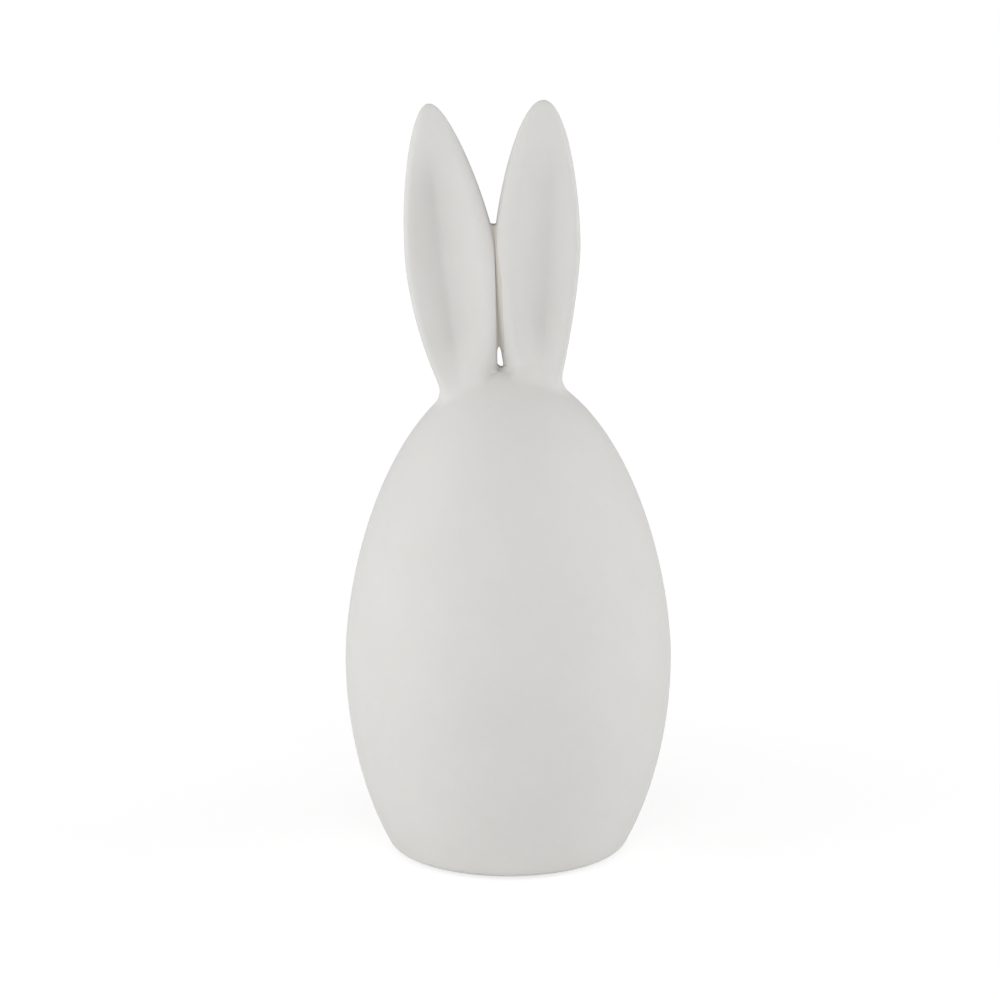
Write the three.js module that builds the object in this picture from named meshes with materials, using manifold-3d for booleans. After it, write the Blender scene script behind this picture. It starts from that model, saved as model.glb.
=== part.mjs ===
// A plain white rabbit ornament: a hollow, slip-cast egg with two tall ears on its crown.
// Millimetres, +Z up. The front looks along -Y, and the left ear is the viewer's left.

import * as THREE from 'three';
import { mergeVertices } from 'three/addons/utils/BufferGeometryUtils.js';
import Module from 'manifold-3d';

const wasm = await Module();
wasm.setup();

// Egg body. Heights are measured up from the plane of the foot.
const eggRadius = 48.0;            // radius at the widest level
const waistHeight = 56.6;          // height of the widest level
const crownRise = 86.1;            // from the widest level up to the crown
const crownPower = 1.74;           // below 2 the upper half is more pointed than an ellipse
const bellyDrop = 82.3;            // from the widest level down to where the belly would close
const bellyPower = 1.97;
const footEdgeRadius = 3.35;       // rounding between the side and the foot
const wallThickness = 4.0;
const baseThickness = 5.0;
const floorChamfer = 3.0;          // inside corner between the floor and the wall
const ventRadius = 4.5;            // hole that lets air out in the kiln
const landWidth = 5.0;             // flat ring that the potter wipes clean of slip
const landBevel = 0.6;             // slope from the ring up into the recess
const recessDepth = 1.1;

// Ears, given from the crown of the egg: heights up from it, sideways places from its axis.
// Places across an ear run from -1 at the edge beside the other ear to 1 at the outer edge.
const leftEar = {
  side: -1,
  tipRise: 76.4,
  widestRise: 28.9,
  halfWidth: 13.72,
  tipPower: 2.52,                  // how late the width starts to fall above the widest level
  tipSlimming: 0.355,              // further share of the width lost towards the tip
  slimmingPower: 1.28,
  footTaper: 0.345,                // share of the width lost at the foot
  footTaperPower: 2.1,
  footX: -11.87,
  tipX: -22.67,
  bow: 0.41,                       // sideways bulge of the middle line
  hollowDepth: 7.1,
  hollowCentre: 0.2,
  hollowInner: 0.93,               // reach of the hollow from its centre to the inner rim
  hollowOuter: 0.71,               // and to the outer rim
  innerPower: 1.4,                 // 2 is a round bowl, 1 a straight slope
  innerFootFullness: 1.5,          // squareness of the inner front rim at the foot
  outerPower: 1.25,
};
const rightEar = {
  side: 1,
  tipRise: 77.45,
  widestRise: 34.6,
  halfWidth: 12.54,
  tipPower: 1.56,
  tipSlimming: 0.02,
  slimmingPower: 1.3,
  footTaper: 0.355,
  footTaperPower: 1.64,
  footX: 7.33,
  tipX: 10.03,
  bow: -0.32,
  hollowDepth: 6.0,
  hollowCentre: 0.3,
  hollowInner: 0.82,
  hollowOuter: 0.64,
  innerPower: 1.5,
  innerFootFullness: 1.4,
  outerPower: 1.6,
};
const earFrontDepth = 6.8;         // middle plane to the front of the rims
const earBackDepth = 6.2;          // middle plane to the back
const earInnerFullness = 4.5;      // front rim beside the other ear: 2 is round, more is squarer
const earInnerFullRise = 40.0;     // how far up that rim reaches its full squareness
const earOuterFullness = 3.0;      // front rim at the outer edge
const earBackFullness = 2.2;
const earSpreadPower = 0.8;        // below 1 an outline has more columns near its two edges
const earDepthPower = 2.4;         // how late the depth starts to fall towards the tip
const earLean = THREE.MathUtils.degToRad(3);
const earFootDrop = 2.7;           // level of the foot sizes, below the crown
const lipSoftness = 0.22;          // how gently the hollow runs out into its rims
const hollowTopStart = 7.0;        // the hollow starts this far under the tip
const hollowTopFull = 30.0;        // and has its full depth here
const hollowFootStart = -3.0;      // the hollow would end at this height over the egg's skin
const hollowFootFull = 16.0;       // and has its full depth here

// Rounding between an ear and the egg, at the outer edge, beside the seam, in front and behind.
const outerFillet = 6.0;
const seamFillet = 2.8;
const creaseFillet = 1.2;          // in front and behind where the seam meets the egg
const frontFillet = 7.0;
const backFillet = 5.0;
const filletFullAcross = 0.2;      // share of the way outwards where a fillet has its full size
const filletEdge = 0.2;            // thickness of the wiped edge where a fillet ends

// Upright seam plane between the two ears. It leans to the left as it rises.
const seamX = -3.1;
const seamTilt = 0.023;
const seamGap = 0.3;
const seamFootSoftness = 1.2;      // how gently an inner flank flattens against it at the foot
const seamSoftness = 0.15;         // and higher up
const seamSoftRise = 6.0;          // the flanks are soft up to here
const seamFirmRise = 26.0;         // and firm from here

// Web of slip in the valley between the ears.
const webTopWidth = 1.38;          // its top edge lies where the valley is this wide
const webBottomRise = 6.5;         // the small hole between the ears lies under this
const webFrontLow = 0.9;           // from the ears' middle plane forward to its bottom front edge
const webFrontHigh = 2.9;          // and to its top front edge
const webFrontBulge = 2.5;         // how far its front stands out half way up
const webSlant = 0.8;              // how much nearer its front lies at the right flank
const webBack = 2.8;               // from that plane back to its rear face
const webSag = 0.9;                // dip of the top edge
const webArch = 1.5;               // rise of the bottom edge over the hole
const webEndPlay = 1.2;            // how far the uncut slab runs on into each ear

// Felt pads stuck into the recess of the foot.
const padCount = 4;
const padRadius = 5.0;
const padThickness = 1.8;
const padPitchRadius = 18.5;
const padBevel = 0.25;
const glueGap = 0.1;

// Clearance of a piece that is luted onto another.
const luteGap = 0.3;

// Fineness of the meshes.
const eggTurns = 52;
const eggSteps = 13;
const earTurns = 48;
const earRings = 34;
const undersideRings = 4;
const webSteps = 8;
const padTurns = 24;
const filletSteps = 5;
const solverPasses = 8;            // rounds in which a height that depends on itself settles
const halvings = 16;               // rounds in which a level between two others is closed in on
const slopeStep = 0.1;             // distance over which a slope is measured

const crownHeight = waistHeight + crownRise;
const standHeight = padThickness + glueGap - recessDepth;

const bisque = new THREE.MeshStandardMaterial({ color: '#d9d6d1', roughness: 0.85, metalness: 0 });
const slip = new THREE.MeshStandardMaterial({ color: '#d2cec7', roughness: 0.9, metalness: 0 });
const felt = new THREE.MeshStandardMaterial({ color: '#e2ded5', roughness: 1, metalness: 0 });

function mix(a, b, share) {
  return a + (b - a) * share;
}

function smoothRise(value, start, full) {
  return THREE.MathUtils.smoothstep(value, start, full);
}

function signedPower(value, power) {
  return Math.sign(value) * Math.pow(Math.abs(value), power);
}

// The smaller of two values, with the corner between them rounded off.
function softMin(a, b, softness) {
  const share = THREE.MathUtils.clamp(0.5 + 0.5 * (b - a) / softness, 0, 1);
  return mix(b, a, share) - softness * share * (1 - share);
}

// Merges a closed geometry's vertices, drops its empty triangles and makes it a solid.
function solidOf(geometry) {
  const bare = geometry.clone();
  bare.deleteAttribute('normal');
  bare.deleteAttribute('uv');
  const merged = mergeVertices(bare);
  const corners = merged.index.array;
  const kept = [];
  for (let i = 0; i < corners.length; i += 3) {
    const [a, b, c] = [corners[i], corners[i + 1], corners[i + 2]];
    if (a !== b && b !== c && c !== a) kept.push(a, b, c);
  }
  const mesh = new wasm.Mesh({
    numProp: 3,
    vertProperties: new Float32Array(merged.attributes.position.array),
    triVerts: new Uint32Array(kept),
  });
  return new wasm.Manifold(mesh);
}

function geometryOf(solid) {
  const mesh = solid.getMesh();
  const geometry = new THREE.BufferGeometry();
  geometry.setAttribute('position', new THREE.BufferAttribute(mesh.vertProperties, 3));
  geometry.setIndex(new THREE.BufferAttribute(mesh.triVerts, 1));
  geometry.computeVertexNormals();
  return geometry;
}

// Upright solid of revolution from [radius, height] points that run down the outside first.
function turned(profile, turns) {
  const points = profile.map(([radius, height]) => new THREE.Vector2(radius, height)).reverse();
  return new THREE.LatheGeometry(points, turns).rotateX(Math.PI / 2);
}

// Radius of the egg at a height, with the skin moved outwards by an offset.
function eggRadiusAt(height, offset = 0) {
  const above = height >= waistHeight;
  const reach = (above ? crownRise : bellyDrop) + offset;
  const power = above ? crownPower : bellyPower;
  const share = Math.min(Math.abs(height - waistHeight) / reach, 1);
  return (eggRadius + offset) * Math.sqrt(1 - Math.pow(share, power));
}

// Height of the crown's skin at a distance from the axis.
function domeHeightAt(radius) {
  const share = Math.min(radius / eggRadius, 1);
  return waistHeight + crownRise * Math.pow(1 - share * share, 1 / crownPower);
}

// Upper half of the egg from the axis at the crown down to the waist.
function crownProfile(offset) {
  const points = [];
  for (let i = 0; i <= eggSteps; i += 1) {
    const angle = (i / eggSteps) * Math.PI / 2;
    const rise = (crownRise + offset) * Math.pow(Math.cos(angle), 2 / crownPower);
    points.push([(eggRadius + offset) * Math.sin(angle), waistHeight + rise]);
  }
  points[0][0] = 0;
  points[eggSteps][1] = waistHeight;
  return points;
}

// Lower half from just under the waist down to a height.
function bellyProfile(offset, lowest) {
  const points = [];
  for (let i = 1; i <= eggSteps; i += 1) {
    const height = mix(waistHeight, lowest, i / eggSteps);
    points.push([eggRadiusAt(height, offset), height]);
  }
  return points;
}

// The foot's rounding touches the side at a height and the foot plane at a radius.
function footRounding() {
  let height = footEdgeRadius / 2;
  let slope = 0;
  for (let pass = 0; pass < solverPasses; pass += 1) {
    slope = Math.atan((eggRadiusAt(height + slopeStep) - eggRadiusAt(height)) / slopeStep);
    height = footEdgeRadius * (1 - Math.sin(slope));
  }
  return { slope, height, radius: eggRadiusAt(height) - footEdgeRadius * Math.cos(slope) };
}

function eggBody() {
  const foot = footRounding();
  const outside = [...crownProfile(0), ...bellyProfile(0, foot.height)];
  for (let i = 1; i <= filletSteps; i += 1) {
    const angle = mix(foot.slope, Math.PI / 2, i / filletSteps);
    outside.push([
      foot.radius + footEdgeRadius * Math.cos(angle),
      footEdgeRadius * (1 - Math.sin(angle)),
    ]);
  }
  const ringEdge = foot.radius - landWidth;
  const floorHeight = recessDepth + baseThickness;
  const underside = [
    [ringEdge, 0],
    [ringEdge - landBevel, recessDepth],
    [ventRadius, recessDepth],
    [ventRadius, floorHeight],
    [eggRadiusAt(floorHeight, -wallThickness) - floorChamfer, floorHeight],
  ];
  const inside = [
    ...crownProfile(-wallThickness),
    ...bellyProfile(-wallThickness, floorHeight + floorChamfer),
  ];
  return turned([...outside, ...underside, ...inside.reverse()], eggTurns);
}

function earHalfWidth(ear, rise) {
  if (rise >= ear.widestRise) {
    const share = Math.min((rise - ear.widestRise) / (ear.tipRise - ear.widestRise), 1);
    const slimming = 1 - ear.tipSlimming * Math.pow(share, ear.slimmingPower);
    return ear.halfWidth * Math.sqrt(1 - Math.pow(share, ear.tipPower)) * slimming;
  }
  const share = (ear.widestRise - rise) / (ear.widestRise + earFootDrop);
  return ear.halfWidth * (1 - ear.footTaper * Math.pow(share, ear.footTaperPower));
}

function earMiddle(ear, rise) {
  const share = (rise + earFootDrop) / (ear.tipRise + earFootDrop);
  return mix(ear.footX, ear.tipX, share) + ear.bow * 4 * share * (1 - share);
}

function earDepthShare(ear, rise) {
  const share = THREE.MathUtils.clamp(rise / ear.tipRise, 0, 1);
  return Math.sqrt(1 - Math.pow(share, earDepthPower));
}

// Height of a squarish arch of height 1 at a place from -1 to 1 across it.
function archAt(across, fullness) {
  return Math.pow(Math.max(1 - Math.pow(Math.abs(across), fullness), 0), 1 / fullness);
}

// The front rim beside the other ear is rounder towards the foot.
function innerFullnessAt(ear, rise) {
  return mix(ear.innerFootFullness, earInnerFullness, smoothRise(rise, 0, earInnerFullRise));
}

// Depth of the hollow in an ear's front at a place across it.
function hollowAt(ear, rise, across, aboveEgg) {
  const outward = across > ear.hollowCentre;
  const reach = outward ? ear.hollowOuter : ear.hollowInner;
  const power = outward ? ear.outerPower : ear.innerPower;
  const share = Math.abs(across - ear.hollowCentre) / reach;
  const bowl = -softMin(Math.pow(share, power) - 1, 0, lipSoftness);
  const underTip = smoothRise(ear.tipRise - rise, hollowTopStart, hollowTopFull);
  const overFoot = smoothRise(aboveEgg, hollowFootStart, hollowFootFull);
  return ear.hollowDepth * bowl * underTip * overFoot;
}

function leanAt(rise) {
  return (rise + earFootDrop) * Math.tan(earLean);
}

// Place of an ear's hollowed front behind its middle plane, so it is below zero.
function earFrontAt(ear, rise, outward, aboveEgg) {
  const fullness = outward > 0 ? earOuterFullness : innerFullnessAt(ear, rise);
  return hollowAt(ear, rise, outward, aboveEgg) - earFrontDepth * archAt(outward, fullness);
}

// Point of an ear's outline at a level. The outline runs anticlockwise seen from above.
function earPoint(ear, rise, column, aboveEgg) {
  const angle = (column / earTurns) * 2 * Math.PI;
  const right = signedPower(Math.cos(angle), earSpreadPower);
  const behind = Math.sin(angle) < 0
    ? earFrontAt(ear, rise, right * ear.side, aboveEgg)
    : earBackDepth * archAt(right, earBackFullness);
  return new THREE.Vector2(
    earMiddle(ear, rise) + right * earHalfWidth(ear, rise),
    leanAt(rise) + behind * earDepthShare(ear, rise),
  );
}

// Level at which one column of an ear's outline meets the egg's skin.
function earFootRise(ear, column) {
  let rise = 0;
  for (let pass = 0; pass < solverPasses; pass += 1) {
    rise = domeHeightAt(earPoint(ear, rise, column, 0).length()) - crownHeight;
  }
  return rise;
}

function earNormal(ear, rise, column, aboveEgg) {
  const before = earPoint(ear, rise, column - 0.5, aboveEgg);
  const after = earPoint(ear, rise, column + 0.5, aboveEgg);
  return new THREE.Vector2(after.y - before.y, before.x - after.x).normalize();
}

// How steeply the egg's skin falls away outside a point of an ear's foot.
function skinSlopeAt(ear, rise, column) {
  const foot = earPoint(ear, rise, column, 0);
  const further = foot.clone().addScaledVector(earNormal(ear, rise, column, 0), slopeStep);
  return Math.atan((domeHeightAt(foot.length()) - domeHeightAt(further.length())) / slopeStep);
}

// The rounding at the foot is tight beside the seam and broad elsewhere.
function filletAt(ear, column) {
  const angle = (column / earTurns) * 2 * Math.PI;
  const share = smoothRise(Math.cos(angle) * ear.side, -1, filletFullAcross);
  const side = mix(seamFillet, outerFillet, share);
  const broad = mix(creaseFillet, Math.sin(angle) < 0 ? frontFillet : backFillet, share);
  return mix(side, broad, Math.pow(Math.sin(angle), 2));
}

// How far the side of an ear leans out over its own foot, as an angle.
function wallLeanAt(ear, rise, column) {
  const step = filletAt(ear, column) / 2;
  const base = earPoint(ear, rise, column, 0);
  const above = earPoint(ear, rise + step, column, step);
  return Math.atan(above.sub(base).dot(earNormal(ear, rise, column, 0)) / step);
}

// Rows of one column from the fillet's edge to the tip: height over the foot, spread from it,
// and freedom from the egg's skin. The fillet is an arc that touches the ear's leaning side
// and, if it ran on, the skin. It ends where the clay over the play has its edge thickness.
function earRows(fillet, foot, length) {
  const turn = Math.PI / 2 - foot.slope + foot.lean;
  const tangent = fillet * Math.tan(turn / 2);
  const edgeHeight = (luteGap + filletEdge) * Math.cos(foot.slope);
  const start = turn - Math.acos(Math.max(1 - edgeHeight / fillet, Math.cos(turn)));
  const rows = [];
  for (let i = 0; i <= filletSteps; i += 1) {
    const freedom = i / filletSteps;
    const angle = start * (1 - freedom) - foot.lean;
    rows.push({
      height: tangent * Math.cos(foot.lean) - fillet * (Math.sin(foot.lean) + Math.sin(angle)),
      spread: tangent * Math.sin(foot.lean) + fillet * (Math.cos(foot.lean) - Math.cos(angle)),
      freedom,
    });
  }
  for (let i = 1; i < earRings; i += 1) {
    const share = Math.sin((i / earRings) * Math.PI / 2);
    const height = mix(tangent * Math.cos(foot.lean), length, share);
    rows.push({ height, spread: height * Math.tan(foot.lean), freedom: 1 });
  }
  return rows;
}

// The rims round the small hole are rounded by a fingertip, and higher up they meet.
function seamSoftnessAt(rise) {
  return mix(seamFootSoftness, seamSoftness, smoothRise(rise, seamSoftRise, seamFirmRise));
}

// Distance of an ear's inner flank from the axis at most, towards the other ear.
function seamLimit(ear, rise) {
  return -(seamX - seamTilt * rise) * ear.side - seamGap / 2;
}

// One vertex of an ear: its outline widened by the fillet, kept off the seam and grown by an
// offset. Where it isn't free of the egg, its height is measured from the skin below it.
function earVertex(ear, column, foot, row, offset) {
  const rise = foot.rise + row.height;
  const normal = earNormal(ear, rise, column, row.height);
  const widening = row.spread - row.height * Math.tan(foot.lean);
  const point = earPoint(ear, rise, column, row.height).addScaledVector(normal, widening);
  const softness = seamSoftnessAt(rise);
  point.x = -softMin(-point.x * ear.side, seamLimit(ear, rise), softness) * ear.side;
  const overSkin = row.height + row.spread * Math.tan(foot.slope);
  const onSkin = domeHeightAt(point.length()) + overSkin;
  const level = mix(onSkin, crownHeight + rise, smoothRise(row.freedom, 0, 1));
  point.addScaledVector(normal, offset);
  return new THREE.Vector3(point.x, point.y, level);
}

function earColumn(ear, column, offset) {
  const rise = earFootRise(ear, column);
  const slope = skinSlopeAt(ear, rise, column);
  const foot = { rise, slope, lean: wallLeanAt(ear, rise, column) };
  const rows = earRows(filletAt(ear, column), foot, ear.tipRise - rise);
  return rows.map((row) => earVertex(ear, column, foot, row, offset));
}

// Underside of one column, from the middle out to the edge. It follows the crown of the egg
// and keeps the play of a luted joint over it.
function undersideColumn(edge, middle) {
  const points = [];
  for (let i = 1; i <= undersideRings; i += 1) {
    const point = middle.clone().lerp(new THREE.Vector2(edge.x, edge.y), i / undersideRings);
    points.push(new THREE.Vector3(point.x, point.y, domeHeightAt(point.length()) + luteGap));
  }
  return points;
}

// Closed ear solid from the middle of its underside up to its tip, grown by an offset.
function earSolid(ear, offset = 0) {
  const sides = [];
  for (let j = 0; j < earTurns; j += 1) {
    sides.push(earColumn(ear, j, offset));
  }
  const middle = new THREE.Vector2();
  sides.forEach(([edge]) => middle.add(new THREE.Vector2(edge.x, edge.y)));
  middle.divideScalar(earTurns);
  const columns = sides.map((side) => [...undersideColumn(side[0], middle), ...side]);
  const rings = columns[0].length;
  const bottomIndex = rings * earTurns;
  const faces = [];
  for (let j = 0; j < earTurns; j += 1) {
    const here = j * rings;
    const next = ((j + 1) % earTurns) * rings;
    faces.push(bottomIndex, next, here);
    for (let i = 0; i < rings - 1; i += 1) {
      faces.push(here + i, next + i, next + i + 1);
      faces.push(here + i, next + i + 1, here + i + 1);
    }
    faces.push(here + rings - 1, next + rings - 1, bottomIndex + 1);
  }
  const bottom = new THREE.Vector3(middle.x, middle.y, domeHeightAt(middle.length()) + luteGap);
  const top = crownHeight + ear.tipRise + offset;
  const tip = new THREE.Vector3(earMiddle(ear, ear.tipRise), leanAt(ear.tipRise), top);
  const geometry = new THREE.BufferGeometry().setFromPoints([...columns.flat(), bottom, tip]);
  geometry.setIndex(faces);
  return solidOf(geometry);
}

// Sideways place of an ear's inner flank at a distance behind its middle plane.
function flankX(ear, rise, behind) {
  const front = behind < 0;
  const fullness = front ? innerFullnessAt(ear, rise) : earBackFullness;
  const depth = (front ? earFrontDepth : earBackDepth) * earDepthShare(ear, rise);
  const inward = archAt(Math.min(Math.abs(behind) / depth, 1), fullness) * earHalfWidth(ear, rise)
    - earMiddle(ear, rise) * ear.side;
  return -softMin(inward, seamLimit(ear, rise), seamSoftnessAt(rise)) * ear.side;
}

// Level where the valley between the ears has opened to the width of the web's top edge.
function webTopRise() {
  let low = Math.max(leftEar.widestRise, rightEar.widestRise);
  let high = Math.min(leftEar.tipRise, rightEar.tipRise);
  for (let pass = 0; pass < halvings; pass += 1) {
    const rise = (low + high) / 2;
    const width = flankX(rightEar, rise, 0) - flankX(leftEar, rise, 0);
    if (width < webTopWidth) low = rise;
    else high = rise;
  }
  return low;
}

// Block of slip between the flanks of the two ears, running on a little into both, with a
// dipped top edge and an arched bottom edge.
function webBlank() {
  const topRise = webTopRise();
  const block = new THREE.BoxGeometry(2, 2, 2, webSteps, webSteps, 2 * webSteps);
  const places = block.attributes.position;
  const corner = new THREE.Vector3();
  for (let i = 0; i < places.count; i += 1) {
    corner.fromBufferAttribute(places, i);
    const top = topRise + webSag * corner.x * corner.x;
    const bottom = webBottomRise - webArch * corner.x * corner.x;
    const rise = mix(bottom, top, (corner.z + 1) / 2);
    const forward = mix(webFrontLow, webFrontHigh, (corner.z + 1) / 2)
      + webFrontBulge * (1 - corner.z * corner.z) + webSlant * corner.x / 2;
    const behind = mix(-forward, webBack, (corner.y + 1) / 2);
    const left = flankX(leftEar, rise, behind) - webEndPlay;
    const right = flankX(rightEar, rise, behind) + webEndPlay;
    const x = mix(left, right, (corner.x + 1) / 2);
    places.setXYZ(i, x, leanAt(rise) + behind, crownHeight + rise);
  }
  return block;
}

function webPiece() {
  const blank = solidOf(webBlank());
  return blank.subtract(earSolid(leftEar, luteGap)).subtract(earSolid(rightEar, luteGap));
}

// Round felt pad with eased edges, standing on its own underside.
function feltPad() {
  return turned([
    [0, padThickness],
    [padRadius - padBevel, padThickness],
    [padRadius, padThickness - padBevel],
    [padRadius, padBevel],
    [padRadius - padBevel, 0],
    [0, 0],
  ], padTurns);
}

function named(name, geometry, material) {
  const mesh = new THREE.Mesh(geometry, material);
  mesh.name = name;
  return mesh;
}

const ceramic = new THREE.Group();
ceramic.position.z = standHeight;
ceramic.add(named('egg_body', eggBody(), bisque));
ceramic.add(named('left_ear', geometryOf(earSolid(leftEar)), bisque));
ceramic.add(named('right_ear', geometryOf(earSolid(rightEar)), bisque));
ceramic.add(named('ear_web', geometryOf(webPiece()), slip));

const pads = new THREE.Group();
for (let i = 0; i < padCount; i += 1) {
  const angle = (i + 0.5) * 2 * Math.PI / padCount;
  const pad = named(`felt_pad_${i + 1}`, feltPad(), felt);
  pad.position.set(padPitchRadius * Math.cos(angle), padPitchRadius * Math.sin(angle), 0);
  pads.add(pad);
}

const group = new THREE.Group();
group.add(ceramic, pads);

export default group;
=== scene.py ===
# %% [markdown]
# # A white bisque rabbit, modelled in Blender
#
# The object is a plain ceramic ornament: a hollow egg with two tall ears and no face. Nearly
# everything on it is the same matt, unglazed white clay, so the picture stands or falls with
# two things: soft, exact curves, and a light that is gentle enough to show them.
#
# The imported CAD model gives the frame. Each of its nodes is replaced here by a finer mesh in
# the same place. Every length of the rabbit is in millimetres until it goes into a mesh. The
# floor, the lamps and the camera's place are in metres.

# %% Load the frame
import math

import bmesh
import bpy
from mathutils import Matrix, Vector


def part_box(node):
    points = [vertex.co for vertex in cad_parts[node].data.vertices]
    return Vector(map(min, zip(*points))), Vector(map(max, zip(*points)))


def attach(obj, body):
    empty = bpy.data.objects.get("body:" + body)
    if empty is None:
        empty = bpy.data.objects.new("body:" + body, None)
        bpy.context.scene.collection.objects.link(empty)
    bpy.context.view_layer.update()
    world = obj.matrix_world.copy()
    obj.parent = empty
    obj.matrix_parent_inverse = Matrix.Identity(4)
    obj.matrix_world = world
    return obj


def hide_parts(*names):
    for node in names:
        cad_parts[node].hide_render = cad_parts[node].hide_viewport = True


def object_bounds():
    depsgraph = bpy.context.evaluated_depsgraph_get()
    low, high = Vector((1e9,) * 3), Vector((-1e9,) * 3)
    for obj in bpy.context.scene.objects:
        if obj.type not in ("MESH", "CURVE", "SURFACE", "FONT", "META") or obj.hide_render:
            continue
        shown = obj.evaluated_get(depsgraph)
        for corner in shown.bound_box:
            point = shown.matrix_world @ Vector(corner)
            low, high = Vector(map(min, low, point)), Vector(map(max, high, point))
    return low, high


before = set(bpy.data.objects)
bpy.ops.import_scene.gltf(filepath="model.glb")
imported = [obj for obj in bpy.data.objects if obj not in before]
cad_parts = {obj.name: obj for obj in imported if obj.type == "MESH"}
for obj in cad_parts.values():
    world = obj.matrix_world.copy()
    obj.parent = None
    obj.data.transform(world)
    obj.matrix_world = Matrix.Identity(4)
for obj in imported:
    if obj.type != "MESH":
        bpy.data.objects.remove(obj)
cad_low, cad_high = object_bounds()
MM = 0.001
BODY = "root"
print("CAD box in mm:", [round(side / MM, 1) for side in cad_high - cad_low])

# %% [markdown]
# ## Putting a piece in place
#
# A finished piece is always put in place the same way: its mesh holds its place, its object
# stays at the origin, it rides on the one body, and it stands for the CAD node that it
# replaces. Edges that turn sharply are marked, so that smooth shading doesn't smear them.

# %% Helper: turn a bmesh into a piece
SHARP_TURN = math.radians(40)


def finish_piece(name, bm, node, material):
    for vertex in bm.verts:
        vertex.co *= MM
    for edge in bm.edges:
        edge.smooth = edge.calc_face_angle(math.pi) < SHARP_TURN
    for face in bm.faces:
        face.smooth = True
    mesh = bpy.data.meshes.new(name)
    bm.to_mesh(mesh)
    bm.free()
    mesh.materials.append(material)
    piece = bpy.data.objects.new(name, mesh)
    bpy.context.scene.collection.objects.link(piece)
    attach(piece, BODY)
    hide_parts(node)
    print(name, "has", len(mesh.vertices), "vertices, stands for", node)


print("edges that turn by more than", round(math.degrees(SHARP_TURN)), "degrees stay sharp")


# %% Helpers: blends
def mix(a, b, share):
    return a + (b - a) * share


def smooth_rise(value, start, full):
    """0 before the start, 1 from where it is full, and an S-shaped rise between them."""
    share = min(max((value - start) / (full - start), 0), 1)
    return share * share * (3 - 2 * share)


print("a quarter of the way, a smooth rise has reached", smooth_rise(0.25, 0, 1))

# %% [markdown]
# ## Materials
#
# Bisque is clay that was fired without a glaze. It is matt, it scatters light softly, and
# close up it shows fine grains and faint clouds where the slip dried unevenly. A rough
# Principled shader gives the scatter. Two noises on Object coordinates move the colour by a
# few hundredths, and a third, finer one gives the skin a grain of a few hundredths of a
# millimetre. The same three helpers serve the felt further down.

# %% Helpers: noise, tint and grain
TINT_START = 0.3
TINT_END = 0.7


def noise(tree, place, size, detail, roughness=0.5, distortion=0.0):
    """Noise with lumps of about this many millimetres, fixed to the piece."""
    texture = tree.nodes.new("ShaderNodeTexNoise")
    texture.inputs["Scale"].default_value = 1 / (size * MM)
    texture.inputs["Detail"].default_value = detail
    texture.inputs["Roughness"].default_value = roughness
    texture.inputs["Distortion"].default_value = distortion
    tree.links.new(place, texture.inputs["Vector"])
    return texture.outputs["Fac"]


def tint_surface(tree, shader, amount, dark, light):
    ramp = tree.nodes.new("ShaderNodeValToRGB")
    ramp.color_ramp.elements[0].position = TINT_START
    ramp.color_ramp.elements[0].color = (*dark, 1)
    ramp.color_ramp.elements[1].position = TINT_END
    ramp.color_ramp.elements[1].color = (*light, 1)
    tree.links.new(amount, ramp.inputs["Fac"])
    tree.links.new(ramp.outputs["Color"], shader.inputs["Base Color"])


def raise_grain(tree, shader, amount, strength, height):
    bump = tree.nodes.new("ShaderNodeBump")
    bump.inputs["Strength"].default_value = strength
    bump.inputs["Distance"].default_value = height * MM
    tree.links.new(amount, bump.inputs["Height"])
    tree.links.new(bump.outputs["Normal"], shader.inputs["Normal"])


print("a tint runs from", TINT_START, "to", TINT_END, "of its noise")

# %% Clay finish
SPECK_TO_GRAIN = 3
SPECK_SHARE = 0.35
CLAY_BUMP = 0.5
CLAY_SPECULAR = 0.25


def clay_finish(name, light, dark, roughness, cloud_size, grain_size, grain_height):
    material = bpy.data.materials.new(name)
    material.use_nodes = True
    tree = material.node_tree
    shader = tree.nodes["Principled BSDF"]
    place = tree.nodes.new("ShaderNodeTexCoord").outputs["Object"]
    clouds = noise(tree, place, cloud_size, detail=4, roughness=0.6)
    specks = noise(tree, place, grain_size * SPECK_TO_GRAIN, detail=6, roughness=0.7)
    blend = tree.nodes.new("ShaderNodeMix")
    blend.data_type = "FLOAT"
    blend.inputs["Factor"].default_value = SPECK_SHARE
    tree.links.new(clouds, blend.inputs["A"])
    tree.links.new(specks, blend.inputs["B"])
    tint_surface(tree, shader, blend.outputs["Result"], dark, light)
    grain = noise(tree, place, grain_size, detail=3)
    raise_grain(tree, shader, grain, CLAY_BUMP, grain_height)
    shader.inputs["Roughness"].default_value = roughness
    shader.inputs["Specular IOR Level"].default_value = CLAY_SPECULAR
    return material


print("coarse specks are", SPECK_TO_GRAIN, "times as large as the grain")

# %% Bisque, and slip with painted shade
bisque = clay_finish(
    "bisque",
    light=(0.700, 0.694, 0.676),
    dark=(0.672, 0.665, 0.646),
    roughness=0.82,
    cloud_size=22.0,
    grain_size=0.9,
    grain_height=0.02,
)
# The slip is darker and warmer than the bisque: its colour is painted shade for the narrow valley
# between the ears and the pocket under the small hole.
slip_painted_shade = clay_finish(
    "slip_painted_shade",
    light=(0.640, 0.612, 0.560),
    dark=(0.600, 0.570, 0.515),
    roughness=0.88,
    cloud_size=6.0,
    grain_size=0.7,
    grain_height=0.03,
)
print("clay finishes:", bisque.name, slip_painted_shade.name)

# %% [markdown]
# ## The egg's outline
#
# The body is two half outlines that meet at the widest level. Each is an ellipse with its
# power changed a little: 1.74 makes the upper half slimmer at the shoulder than an ellipse,
# and 1.97 leaves the lower half nearly one. One function gives the radius at any height and
# one gives the height of the dome over any place, and everything that touches the egg asks
# these two. Heights are measured up from the foot.

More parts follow.
